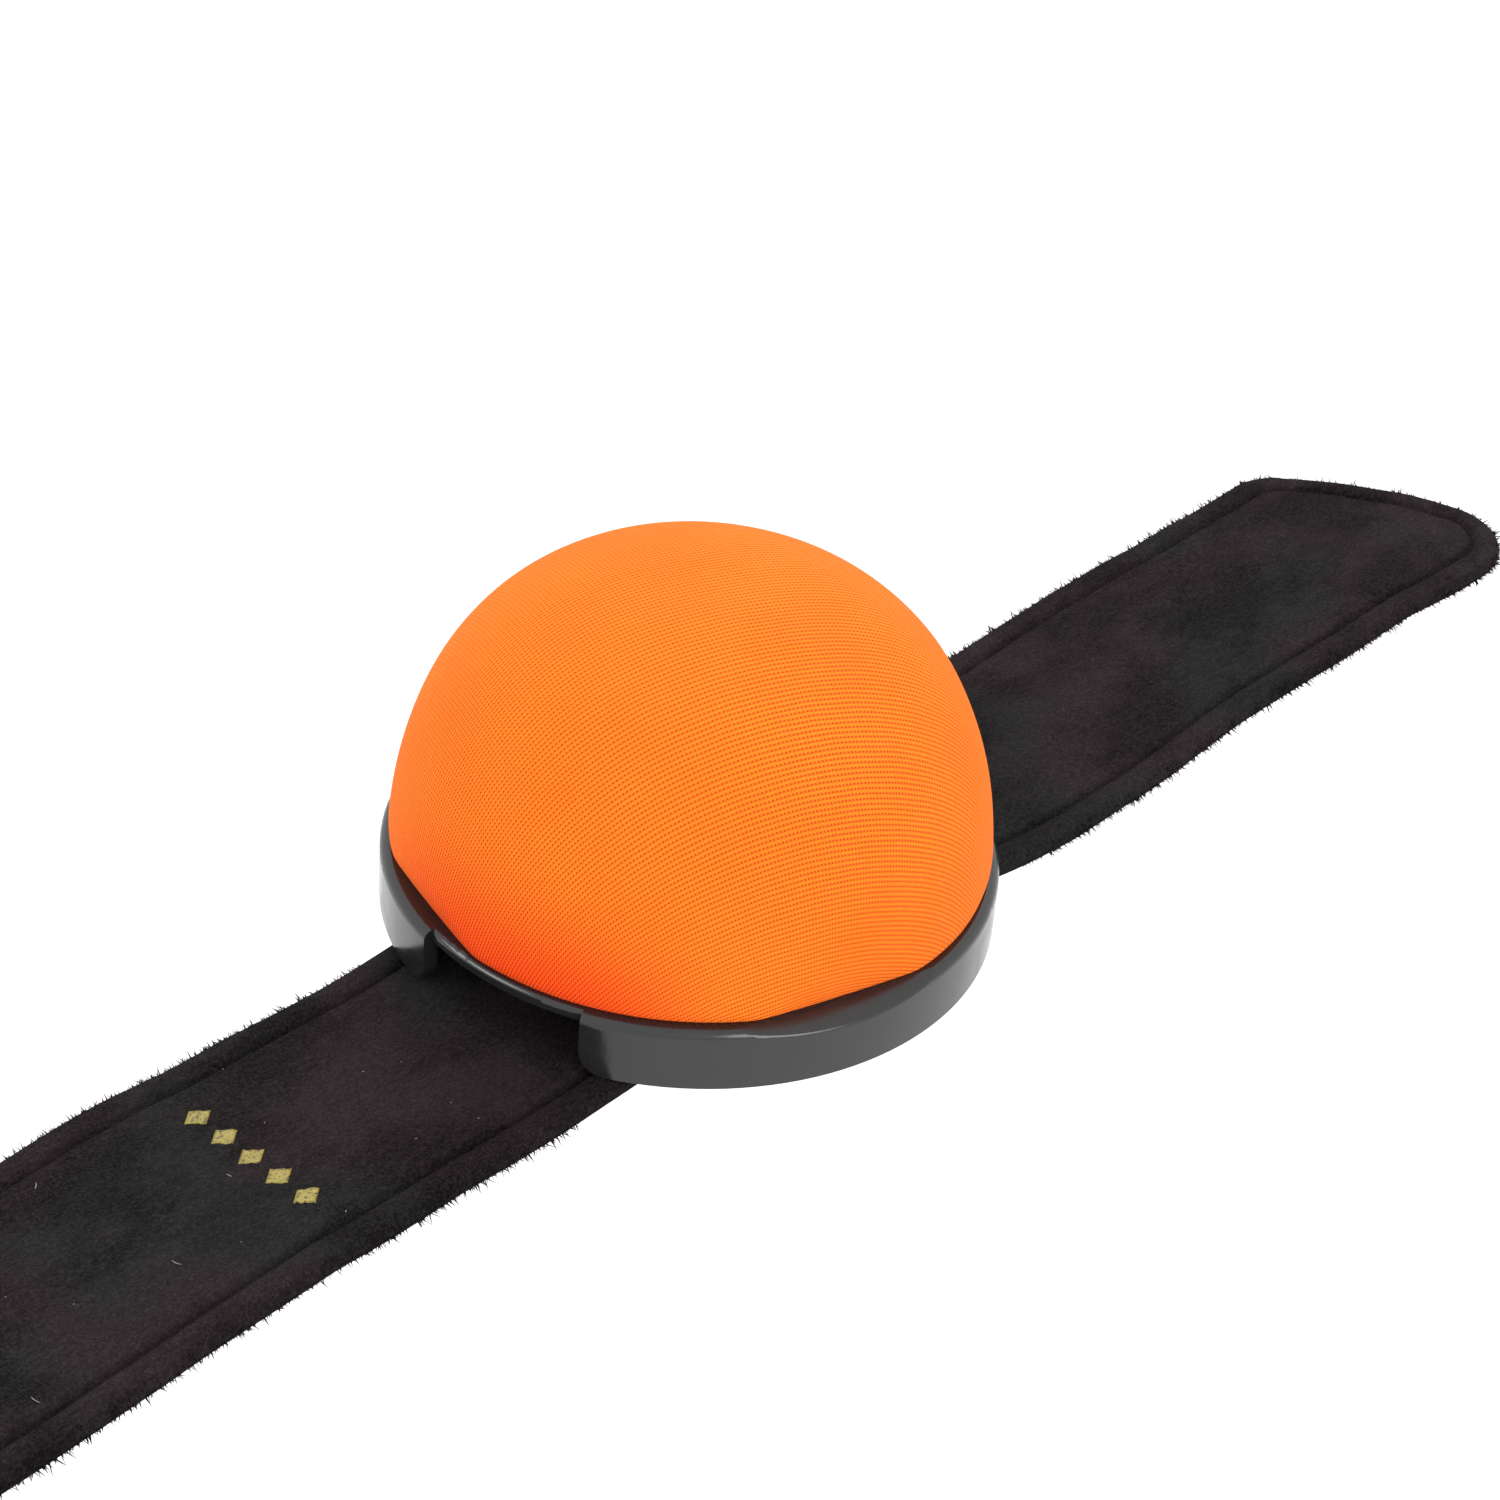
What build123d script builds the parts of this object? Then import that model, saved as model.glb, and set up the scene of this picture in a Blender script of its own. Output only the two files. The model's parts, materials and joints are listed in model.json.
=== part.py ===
from build123d import *
import math
import os

os.makedirs("parts", exist_ok=True)

# Wrist pin cushion, millimetres. The origin is on the wrist side of the keeper plate, under the
# centre of the ring. +X runs along the strap to its oblique tip and +Z points up to the dome.

# Moulded base: a shallow dish with a skirt, cut away where the strap passes under it
ring_radius = 32.5
skirt_bottom = 3.8
rim_top = 10.8
skirt_wall = 1.6
floor_bottom = 8.9
floor_top = 9.7
rim_fillet = 1.1
opening_radius = 30.6
opening_flat = 29.3  # distance from the centre to each of the four straight stretches of the lip
flat_turn = -17.0  # degrees from +X to the first straight stretch
scoop_start = 29.6  # distance from the centre at which the lip starts to slope down there
scoop_slope = 24.0
scoop_fillet = 0.5
arch_half_angle = 18.0
arch_turn = 6.0  # degrees the two arches are turned from the strap's line
arch_top = 9.6
arch_corner = 2.8
arch_inset = 0.9
lip_round = 0.6
boss_radius = 2.75
boss_x = 9.0
boss_y = 20.5

# Keeper plate that snaps on from below and holds the strap
keeper_length = 26.0
keeper_width = 46.5
keeper_thickness = 1.0
keeper_corner = 4.0
peg_radius = 1.45
peg_hole_radius = 1.5
peg_top = 6.0

# Cushion: a stuffed jersey dome on a stiff board
dome_radius = 31.7
dome_rise = 36.0
dome_base = 6.5  # height of the dome's widest plane, if it went on below the lip
dome_power = 2.455  # superellipse exponent, a little squarer than a sphere
dome_waist = 14.0  # the dome turns in to the lip below this height
dome_foot_radius = 29.0
dome_foot_top = 11.0
cover_thickness = 0.8
hem_inner_radius = 18.0
board_radius = 27.9
board_thickness = 1.5
thread_radius = 0.35
glue_radius = 14.0
fit_gap = 0.05

# Strap: three layers, cut across at each fold line
strap_width = 33.5
strap_bottom = 1.2
face_thickness = 0.8
lining_thickness = 0.7
back_thickness = 0.8
fold_gap = 0.2
folds = [22.0, 41.0, 60.0, 79.0, 98.0]  # distance of each fold line from the centre, both sides
tip_x = 133.4
tip_y = -7.0
tip_shoulder = 118.0
tip_chin = 123.5
tip_corner = 4.0
left_end = 124.0
left_corner = 8.0

# Touch fastener: hooks on top of the left end, long loop strip under the right end
patch_width = 25.0
hook_start = 103.5
hook_end = 121.0
hook_thickness = 1.0
loop_end = 122.0
loop_thickness = 1.2
loop_gap = 0.7
patch_corner = 2.0

# Gold foil ornament: a row of lozenges across the strap
foil_x = -62.0
foil_count = 5
foil_pitch = 4.1
foil_length = 3.3
foil_width = 2.7
foil_thickness = 0.06

half_width = strap_width / 2
lining_bottom = strap_bottom + back_thickness
face_bottom = lining_bottom + lining_thickness
strap_top = face_bottom + face_thickness


def write(piece, name):
    piece.label = name
    export_step(piece, f"parts/{name}.step")


def dome_profile(inset, bottom):
    """Half section of the dome, drawn in the XZ plane, drawn in from the cover's outside by inset."""

    def dome_point(angle):
        r = (dome_radius - inset) * math.cos(angle) ** (2 / dome_power)
        z = dome_base + (dome_rise - inset) * math.sin(angle) ** (2 / dome_power)
        return (r, z)

    waist_angle = math.asin(((dome_waist - dome_base) / dome_rise) ** (dome_power / 2))
    steps = 10
    angles = [waist_angle + (math.pi / 2 - waist_angle) * i / steps for i in range(steps)]
    points = [dome_point(a) for a in angles] + [(0, dome_base + dome_rise - inset)]
    foot_radius = dome_foot_radius - inset
    with BuildSketch(Plane.XZ) as profile:
        with BuildLine():
            crown = Spline(points, tangents=[(-0.02, 1), (-1, 0)])
            Polyline(crown @ 1, (0, bottom), (foot_radius, bottom), (foot_radius, dome_foot_top))
            TangentArc(crown @ 0, (foot_radius, dome_foot_top), tangent=(0.02, -1))
        make_face()
    return profile.sketch


def arch_sector(inner, outer):
    """Plan of the two wedges, at +X and -X, where the strap leaves the base."""
    reach = outer / math.cos(math.radians(arch_half_angle))
    rise = reach * math.sin(math.radians(arch_half_angle))
    with BuildSketch() as wedges:
        with BuildLine():
            Polyline((0, 0), (outer, -rise), (outer, rise), (0, 0))
        make_face()
        mirror(about=Plane.YZ)
        Circle(inner, mode=Mode.SUBTRACT)
    return wedges.sketch


def base_shell():
    with BuildPart() as shell:
        with BuildSketch(Plane.XY.offset(skirt_bottom)):
            Circle(ring_radius)
        extrude(amount=rim_top - skirt_bottom)
        fillet(shell.edges().group_by(Axis.Z)[-1], radius=rim_fillet)
        # The lip slopes down outwards at the two straight stretches that are clear of the arches
        for turn in (flat_turn + 90, flat_turn + 270):
            rim_edge = Location((0, 0, rim_top), (0, 0, turn))
            with Locations(rim_edge * Location((scoop_start, 0, 0), (0, scoop_slope, 0))):
                Box(60, 60, 10, align=(Align.CENTER, Align.CENTER, Align.MIN), mode=Mode.SUBTRACT)
        fillet(shell.edges().filter_by(GeomType.ELLIPSE), radius=scoop_fillet)
        with BuildSketch(Plane.XY.offset(skirt_bottom)):
            Circle(ring_radius - skirt_wall)
        extrude(amount=floor_bottom - skirt_bottom, mode=Mode.SUBTRACT)
        with BuildSketch(Plane.XY.offset(floor_top)):
            Circle(opening_radius)
            Rectangle(2 * opening_flat, 2 * opening_flat, rotation=flat_turn, mode=Mode.INTERSECT)
        extrude(amount=rim_top - floor_top, mode=Mode.SUBTRACT)
        # Arches: the wall goes, and the lip over them stands back a little
        with BuildSketch(Plane.XY.offset(skirt_bottom)):
            add(arch_sector(ring_radius - skirt_wall, ring_radius + 2), rotation=arch_turn)
        extrude(amount=arch_top - skirt_bottom, mode=Mode.SUBTRACT)
        set_back = ring_radius - arch_inset
        outside = ring_radius + 2
        for turn in (arch_turn - arch_half_angle, 180 + arch_turn - arch_half_angle):
            with BuildSketch(Plane.XZ.rotated((0, 0, turn))):
                with BuildLine():
                    round_start = (set_back, rim_top - lip_round)
                    Polyline((outside, arch_top), (set_back, arch_top), round_start)
                    rounding = TangentArc(round_start, (set_back - lip_round, rim_top), tangent=(0, 1))
                    Polyline(rounding @ 1, (outside, rim_top), (outside, arch_top))
                make_face()
            revolve(axis=Axis.Z, revolution_arc=2 * arch_half_angle, mode=Mode.SUBTRACT)
        low_edges = shell.edges().filter_by(GeomType.LINE).group_by(Axis.Z)[0]
        fillet(low_edges, radius=arch_corner)
        with BuildSketch(Plane.XY.offset(keeper_thickness)):
            with GridLocations(2 * boss_x, 2 * boss_y, 2, 2):
                Circle(boss_radius)
        extrude(amount=floor_bottom - keeper_thickness)
        with BuildSketch(Plane.XY.offset(keeper_thickness)):
            with GridLocations(2 * boss_x, 2 * boss_y, 2, 2):
                Circle(peg_hole_radius)
        extrude(amount=floor_bottom - keeper_thickness, mode=Mode.SUBTRACT)
    return shell.part


def strap_keeper():
    with BuildPart() as keeper:
        with BuildSketch():
            RectangleRounded(keeper_length, keeper_width, keeper_corner)
        extrude(amount=keeper_thickness)
        with BuildSketch(Plane.XY.offset(keeper_thickness)):
            with GridLocations(2 * boss_x, 2 * boss_y, 2, 2):
                Circle(peg_radius)
        extrude(amount=peg_top - keeper_thickness)
    return keeper.part


def cushion_cover():
    board_bottom = floor_top + cover_thickness
    with BuildPart() as cover:
        add(dome_profile(0, floor_top))
        revolve(axis=Axis.Z)
        add(dome_profile(cover_thickness, board_bottom))
        revolve(axis=Axis.Z, mode=Mode.SUBTRACT)
        with BuildSketch(Plane.XY.offset(floor_top)):
            Circle(hem_inner_radius)
        extrude(amount=cover_thickness, mode=Mode.SUBTRACT)
    return cover.part


def cushion_filling():
    board_top = floor_top + cover_thickness + board_thickness
    with BuildPart() as filling:
        add(dome_profile(cover_thickness + fit_gap, floor_top + cover_thickness))
        revolve(axis=Axis.Z)
        split(bisect_by=Plane.XY.offset(board_top), keep=Keep.TOP)
    return filling.part


def disc(radius, bottom, thickness):
    with BuildPart() as plate:
        with BuildSketch(Plane.XY.offset(bottom)):
            Circle(radius)
        extrude(amount=thickness)
    return plate.part


def gathering_thread():
    ring = hem_inner_radius - thread_radius - fit_gap
    with BuildPart() as thread:
        with BuildSketch(Plane.XZ):
            with Locations((ring, floor_top + cover_thickness / 2)):
                Circle(thread_radius)
        revolve(axis=Axis.Z)
    return thread.part


def strap_outline():
    """Plan of the whole strap: rounded at the left end, an oblique tongue at the right."""
    with BuildSketch() as outline:
        with BuildLine() as edge:
            Line((-left_end, half_width), (tip_shoulder, half_width))
            ThreePointArc((tip_shoulder, half_width), (129.3, 5.8), (tip_x, tip_y))
            ThreePointArc((tip_x, tip_y), (130.8, -13.7), (tip_chin, -half_width))
            Line((tip_chin, -half_width), (-left_end, -half_width))
            Line((-left_end, -half_width), (-left_end, half_width))
        make_face()
        fillet(outline.vertices().sort_by(Axis.X)[:2], radius=left_corner)
        shoulder = outline.vertices().filter_by_position(Axis.X, tip_shoulder - 1, tip_shoulder + 1)
        fillet(shoulder, radius=tip_corner)
    return outline.sketch


def strap_layer(outline, start, end, bottom, thickness):
    """One layer of the strap between two fold lines."""
    with BuildPart() as layer:
        with BuildSketch(Plane.XY.offset(bottom)):
            add(outline)
            with Locations(((start + end) / 2, 0)):
                Rectangle(end - start, 2 * strap_width, mode=Mode.INTERSECT)
        extrude(amount=thickness)
    return layer.part


def patch(start, end, bottom, thickness):
    """A rounded rectangle of touch fastener, centred across the strap."""
    with BuildPart() as strip:
        with BuildSketch(Plane.XY.offset(bottom)):
            with Locations(((start + end) / 2, 0)):
                RectangleRounded(abs(end - start), patch_width, patch_corner)
        extrude(amount=thickness)
    return strip.part


def foil_motif():
    x = foil_length / 2
    y = foil_width / 2
    with BuildPart() as motif:
        with BuildSketch(Plane.XY.offset(strap_top)):
            with Locations((foil_x, 0)):
                with GridLocations(1, foil_pitch, 1, foil_count):
                    Polygon((-x, 0), (0, -y), (x, 0), (0, y))
        extrude(amount=foil_thickness)
    return motif.part


board_bottom = floor_top + cover_thickness
write(base_shell(), "base_shell")
write(strap_keeper(), "strap_keeper")
write(cushion_cover(), "cushion_cover")
write(cushion_filling(), "cushion_filling")
write(disc(board_radius, board_bottom, board_thickness), "cushion_board")
write(disc(glue_radius, floor_top, cover_thickness), "glue_disc")
write(gathering_thread(), "gathering_thread")

# The strap's stretches: the middle one in the keeper, then five on each side
stretches = {"middle": (-folds[0], folds[0])}
for i, fold in enumerate(folds):
    last = i + 1 == len(folds)
    stretches[f"right_{i + 1}"] = (fold, tip_x + 1 if last else folds[i + 1])
    stretches[f"left_{i + 1}"] = (-left_end - 1 if last else -folds[i + 1], -fold)

layers = {
    "back": (strap_bottom, back_thickness),
    "lining": (lining_bottom, lining_thickness),
    "face": (face_bottom, face_thickness),
}
strap_plan = strap_outline()
for place, (start, end) in stretches.items():
    for layer_name, (bottom, thickness) in layers.items():
        layer = strap_layer(strap_plan, start + fold_gap, end - fold_gap, bottom, thickness)
        write(layer, f"strap_{layer_name}_{place}")

write(patch(-hook_end, -hook_start, strap_top, hook_thickness), "hook_patch")
loop_bottom = strap_bottom - loop_thickness
loop_edges = folds[2:] + [loop_end + loop_gap]
for i, name in enumerate(["inner", "middle", "outer"]):
    strip = patch(loop_edges[i] + loop_gap, loop_edges[i + 1] - loop_gap, loop_bottom, loop_thickness)
    write(strip, f"loop_patch_{name}")
write(foil_motif(), "foil_motif")
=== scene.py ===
"""Looks of the wrist pin cushion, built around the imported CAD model. Lengths are in metres."""

import json
import math

import bpy
import numpy as np
from mathutils import Matrix, Vector, noise


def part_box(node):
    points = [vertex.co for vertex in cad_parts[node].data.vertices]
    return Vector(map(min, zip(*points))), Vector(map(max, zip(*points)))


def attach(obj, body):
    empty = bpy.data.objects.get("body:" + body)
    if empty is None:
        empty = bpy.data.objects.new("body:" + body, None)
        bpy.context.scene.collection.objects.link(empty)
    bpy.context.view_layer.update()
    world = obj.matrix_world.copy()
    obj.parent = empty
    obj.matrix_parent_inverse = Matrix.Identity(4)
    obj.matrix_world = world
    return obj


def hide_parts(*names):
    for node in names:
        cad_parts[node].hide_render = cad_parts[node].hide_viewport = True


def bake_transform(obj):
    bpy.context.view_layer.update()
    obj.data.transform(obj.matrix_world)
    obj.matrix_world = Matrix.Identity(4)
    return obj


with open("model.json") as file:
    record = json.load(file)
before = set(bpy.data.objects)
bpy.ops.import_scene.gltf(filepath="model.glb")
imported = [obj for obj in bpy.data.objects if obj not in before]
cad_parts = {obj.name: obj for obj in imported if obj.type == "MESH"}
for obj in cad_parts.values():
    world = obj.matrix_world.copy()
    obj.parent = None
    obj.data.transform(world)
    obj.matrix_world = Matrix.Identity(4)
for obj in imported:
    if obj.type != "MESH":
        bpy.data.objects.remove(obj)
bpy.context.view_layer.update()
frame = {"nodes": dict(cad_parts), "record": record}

random = np.random.default_rng(11)
MM = 0.001
TINY = 1e-12

# ---------------------------------------------------------------- sizes read from the frame
rim_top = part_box("base_shell")[1].z
floor_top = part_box("glue_disc")[0].z
dome_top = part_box("cushion_cover")[1].z
half_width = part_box("strap_face_middle")[1].y
strap_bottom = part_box("strap_back_middle")[0].z
strap_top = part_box("strap_face_middle")[1].z
strap_middle_z = (strap_bottom + strap_top) / 2
half_thickness = (strap_top - strap_bottom) / 2
right_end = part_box("strap_face_right_5")[1].x
left_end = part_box("strap_face_left_5")[0].x
fold_places = [
    joint["pos_m"][0]
    for joint in frame["record"]["behaviour"]["joints"]
    if joint["name"].startswith("right_fold")
]

# ---------------------------------------------------------------- mesh helpers


def unit(vectors):
    """A vector, or each row of an array of vectors, at length one."""
    return vectors / (np.linalg.norm(vectors, axis=-1, keepdims=True) + TINY)


def mesh_object(name, vertices, faces, materials, face_materials=None, smooth=True):
    mesh = bpy.data.meshes.new(name)
    mesh.from_pydata([tuple(v) for v in vertices], [], [tuple(f) for f in faces])
    for material in materials:
        mesh.materials.append(material)
    if face_materials is not None:
        mesh.polygons.foreach_set("material_index", np.asarray(face_materials, dtype=np.int32))
    mesh.polygons.foreach_set("use_smooth", np.full(len(mesh.polygons), smooth))
    mesh.update()
    piece = bpy.data.objects.new(name, mesh)
    bpy.context.scene.collection.objects.link(piece)
    return piece


class Parts:
    """Vertices and faces collected from many small closed shapes."""

    def __init__(self):
        self.vertices = []
        self.faces = []
        self.kinds = []

    def add(self, vertices, faces, kind=0):
        start = len(self.vertices)
        self.vertices.extend([tuple(v) for v in vertices])
        self.faces.extend([tuple(int(i) + start for i in face) for face in faces])
        self.kinds.extend([kind] * len(faces))

    def tube(self, path, radii, sides, kind):
        """A closed tube along path, with one radius for each of its points."""
        path = np.asarray(path, float)
        tangents = unit(np.gradient(path, axis=0))
        up = np.array([0.0, 0.0, 1.0])
        if abs(tangents[0] @ up) > 0.9:
            up = np.array([0.0, 1.0, 0.0])
        vertices = []
        for point, tangent, radius in zip(path, tangents, radii):
            side = unit(np.cross(tangent, up))
            other = np.cross(side, tangent)
            for k in range(sides):
                angle = 2 * math.pi * k / sides
                vertices.append(point + radius * (math.cos(angle) * side + math.sin(angle) * other))
        faces = []
        for i in range(len(path) - 1):
            for k in range(sides):
                a = i * sides + k
                b = i * sides + (k + 1) % sides
                faces.append((a, b, b + sides, a + sides))
        last = (len(path) - 1) * sides
        faces.append(tuple(range(sides - 1, -1, -1)))
        faces.append(tuple(range(last, last + sides)))
        self.add(vertices, faces, kind)

    def fibres(self, roots, tips, radii, kind):
        """Fine closed needles, each a three-sided cone from its root to its tip."""
        for root, tip, radius in zip(roots, tips, radii):
            along = tip - root
            side = unit(np.cross(along, (0.3, 0.2, 0.93)))
            other = unit(np.cross(along, side))
            base = [
                root + radius * side,
                root + radius * (-0.5 * side + 0.87 * other),
                root + radius * (-0.5 * side - 0.87 * other),
            ]
            self.add(base + [tip], [(0, 1, 3), (1, 2, 3), (2, 0, 3), (0, 2, 1)], kind)

    def piece(self, name, materials):
        return mesh_object(name, self.vertices, self.faces, materials, self.kinds)


def slab_faces(n, flipped=False):
    """Faces of a closed slab whose upper and lower sides are n by n grids of points, the upper first."""
    index = np.arange(n * n).reshape(n, n)
    faces = []
    for i in range(n - 1):
        for j in range(n - 1):
            square = (index[i, j], index[i + 1, j], index[i + 1, j + 1], index[i, j + 1])
            mirrored = (index[i, j], index[i, j + 1], index[i + 1, j + 1], index[i + 1, j])
            upper, lower = (mirrored, square) if flipped else (square, mirrored)
            faces.append(upper)
            faces.append(tuple(n * n + k for k in lower))
    ring = list(index[:-1, 0]) + list(index[-1, :-1]) + list(index[:0:-1, -1]) + list(index[0, :0:-1])
    for a, b in zip(ring, ring[1:] + ring[:1]):
        faces.append((a, b, b + n * n, a + n * n) if flipped else (a, a + n * n, b + n * n, b))
    return faces


# ---------------------------------------------------------------- material helpers


class Graph:
    """A node material around one Principled shader, with its object coordinates in millimetres."""

    def __init__(self, name, **shader_values):
        self.material = bpy.data.materials.new(name)
        self.material.use_nodes = True
        tree = self.material.node_tree
        self.nodes = tree.nodes
        self.links = tree.links
        self.shader = self.nodes["Principled BSDF"]
        for socket, value in shader_values.items():
            self.shader.inputs[socket.replace("_", " ")].default_value = value
        coordinates = self.nodes.new("ShaderNodeTexCoord")
        scale = self.nodes.new("ShaderNodeVectorMath")
        scale.operation = "SCALE"
        scale.inputs["Scale"].default_value = 1 / MM
        self.links.new(coordinates.outputs["Object"], scale.inputs[0])
        self.place = scale.outputs[0]

    def feed(self, socket, value):
        if isinstance(value, bpy.types.NodeSocket):
            self.links.new(value, socket)
        else:
            socket.default_value = value

    def apart(self, vector):
        """The X, Y and Z of a vector, by name."""
        node = self.nodes.new("ShaderNodeSeparateXYZ")
        self.links.new(vector, node.inputs[0])
        return node.outputs

    def math(self, operation, a, b=0.0, c=0.0, clamp=False):
        node = self.nodes.new("ShaderNodeMath")
        node.operation = operation
        node.use_clamp = clamp
        for socket, value in zip(node.inputs, (a, b, c)):
            self.feed(socket, value)
        return node.outputs[0]

    def noise(self, per_mm, detail=2.0, roughness=0.5, stretch=None):
        node = self.nodes.new("ShaderNodeTexNoise")
        node.inputs["Scale"].default_value = per_mm
        node.inputs["Detail"].default_value = detail
        node.inputs["Roughness"].default_value = roughness
        place = self.place
        if stretch:
            mapping = self.nodes.new("ShaderNodeMapping")
            mapping.inputs["Scale"].default_value = stretch
            self.links.new(place, mapping.inputs["Vector"])
            place = mapping.outputs[0]
        self.links.new(place, node.inputs["Vector"])
        return node.outputs["Fac"]

    def ramp(self, value, low, high, out_low=0.0, out_high=1.0):
        node = self.nodes.new("ShaderNodeMapRange")
        node.interpolation_type = "SMOOTHSTEP"
        self.links.new(value, node.inputs["Value"])
        node.inputs["From Min"].default_value = low
        node.inputs["From Max"].default_value = high
        node.inputs["To Min"].default_value = out_low
        node.inputs["To Max"].default_value = out_high
        return node.outputs[0]

    def mix(self, factor, colour_a, colour_b):
        node = self.nodes.new("ShaderNodeMix")
        node.data_type = "RGBA"
        self.feed(node.inputs["Factor"], factor)
        for socket, colour in zip((node.inputs[6], node.inputs[7]), (colour_a, colour_b)):
            self.feed(socket, colour if isinstance(colour, bpy.types.NodeSocket) else (*colour, 1.0))
        return node.outputs[2]

    def bump(self, height, depth_mm, strength=1.0):
        node = self.nodes.new("ShaderNodeBump")
        node.inputs["Strength"].default_value = strength
        node.inputs["Distance"].default_value = depth_mm * MM
        self.links.new(height, node.inputs["Height"])
        self.links.new(node.outputs[0], self.shader.inputs["Normal"])

    def colour(self, value):
        self.links.new(value, self.shader.inputs["Base Color"])

    def rough(self, value):
        self.links.new(value, self.shader.inputs["Roughness"])


# ---------------------------------------------------------------- materials


def jersey_material():
    """Fine stretch jersey: rows of small loops, dark between the rows and at the loops' corners."""
    wale = 0.47  # millimetres from loop to loop along a row
    course = 0.52  # millimetres from row to row
    leg_slope = 0.35  # how far a loop's legs climb, in rows
    turn = 2 * math.pi
    orange = (0.97, 0.157, 0.0078)
    bright_orange = (1.0, 0.180, 0.0102)
    dull_orange = (0.93, 0.135, 0.006)
    # Painted shade: the redder yarn colour of the dome's low, shaded side
    painted_shade_orange = (0.97, 0.058, 0.004)
    brown_gap = (0.33, 0.040, 0.0015)
    # Painted shade: the redder gap colour of the dome's low, shaded side
    painted_shade_gap = (0.36, 0.012, 0.001)
    graph = Graph("jersey", Roughness=0.86, Specular_IOR_Level=0.15, Sheen_Weight=0.20, Sheen_Roughness=0.35)
    graph.shader.inputs["Sheen Tint"].default_value = (1.0, 0.42, 0.08, 1.0)

    knit = graph.nodes.new("ShaderNodeUVMap")
    knit.uv_map = "knit"
    apart = graph.apart(knit.outputs[0])
    wobble = graph.ramp(graph.noise(0.16, 1.0), 0.3, 0.7, -0.10, 0.10)
    across = graph.math("DIVIDE", apart["X"], wale)
    along = graph.math("ADD", graph.math("DIVIDE", apart["Y"], course), wobble)
    inside = graph.math("FRACT", across)
    slope = graph.math("ABSOLUTE", graph.math("SUBTRACT", inside, 0.5))
    tilted = graph.math("ADD", along, graph.math("MULTIPLY", slope, leg_slope))
    row = graph.math("COSINE", graph.math("MULTIPLY", tilted, turn))
    column = graph.math("COSINE", graph.math("MULTIPLY", across, turn))
    hole_row = graph.ramp(row, 0.35, -0.75)
    hole_column = graph.ramp(column, -0.8, 0.6, 0.35, 1.0)
    hole = graph.math("MULTIPLY", hole_row, hole_column)

    patchy = graph.ramp(graph.noise(0.06, 3.0), 0.3, 0.7)
    uneven = graph.ramp(graph.noise(1.7, 2.0), 0.3, 0.75, 0.0, 0.35)
    yarn = graph.mix(uneven, graph.mix(patchy, orange, bright_orange), dull_orange)

    # Low on the dome, mostly on one side, the colour turns a redder orange: painted shade, for the dimmer
    # light low on the dome beside the lip, where the orange looks redder
    place = graph.apart(graph.place)
    low = graph.ramp(place["Z"], 25.0, 10.0)
    lean = graph.math("MULTIPLY_ADD", place["X"], -0.99, graph.math("MULTIPLY", place["Y"], -0.14))
    facing = graph.ramp(lean, 23.0, 31.5, 0.04, 0.95)
    # The mask of the painted shade: low on the dome, and on one side
    painted_shade_mask = graph.math("MULTIPLY", low, facing)
    yarn = graph.mix(painted_shade_mask, yarn, painted_shade_orange)
    gap = graph.mix(painted_shade_mask, brown_gap, painted_shade_gap)
    graph.colour(graph.mix(graph.math("MULTIPLY", hole, 0.92), yarn, gap))
    height = graph.math("ADD", graph.math("MULTIPLY", row, 0.6), graph.math("MULTIPLY", column, 0.25))
    graph.bump(height, 0.08, 0.7)
    return graph.material


def plastic_material(name, tone, roughness):
    """Moulded black plastic: a gloss that is a little uneven, with faint handling marks."""
    graph = Graph(name, Specular_IOR_Level=0.55)
    dull = graph.ramp(graph.noise(0.25, 4.0), 0.35, 0.75, roughness, roughness + 0.09)
    marks = graph.ramp(graph.noise(1.2, 3.0, stretch=(0.3, 3.0, 1.0)), 0.62, 0.72, 0.0, 0.10)
    graph.rough(graph.math("ADD", dull, marks))
    cloud = graph.noise(0.1, 2.0)
    graph.colour(graph.mix(cloud, tone, tuple(1.5 * t for t in tone)))
    graph.bump(graph.noise(2.2, 3.0), 0.004, 0.6)
    return graph.material


def velour_material(name, dark, light, cool, pile=3.2):
    """Short dense pile, brushed into darker and lighter, browner and cooler patches.

    The number pile is the scale of its tufts, per millimetre.
    """
    graph = Graph(name, Roughness=0.95, Specular_IOR_Level=0.03, Sheen_Weight=0.022, Sheen_Roughness=0.4)
    graph.shader.inputs["Sheen Tint"].default_value = (0.8, 0.66, 0.70, 1.0)
    brushed = graph.ramp(graph.noise(0.055, 4.0, 0.6, stretch=(1.0, 1.6, 1.0)), 0.38, 0.62)
    tufts = graph.ramp(graph.noise(pile, 3.0, 0.7), 0.38, 0.66)
    streaks = graph.ramp(graph.noise(0.9, 3.0, 0.6, stretch=(1.0, 2.4, 1.0)), 0.35, 0.7)
    shade = graph.math("ADD", graph.math("MULTIPLY", brushed, 0.42), graph.math("MULTIPLY", streaks, 0.20))
    shade = graph.math("ADD", shade, graph.math("MULTIPLY", tufts, 0.50), clamp=True)
    cooler = graph.ramp(graph.noise(0.035, 2.0, 0.5, stretch=(1.0, 1.3, 1.0)), 0.50, 0.60)
    graph.colour(graph.mix(shade, dark, graph.mix(cooler, light, cool)))
    height = graph.math("ADD", graph.math("MULTIPLY", tufts, 0.7), graph.math("MULTIPLY", streaks, 0.5))
    graph.bump(height, 0.16, 0.9)
    return graph.material


def thread_material(name, tone):
    """Twisted sewing thread."""
    graph = Graph(name, Roughness=0.7, Specular_IOR_Level=0.2)
    twist = graph.noise(4.0, 1.0, stretch=(1.0, 1.0, 3.0))
    graph.colour(graph.mix(twist, tone, tuple(1.8 * t for t in tone)))
    graph.bump(twist, 0.05)
    return graph.material


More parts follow.
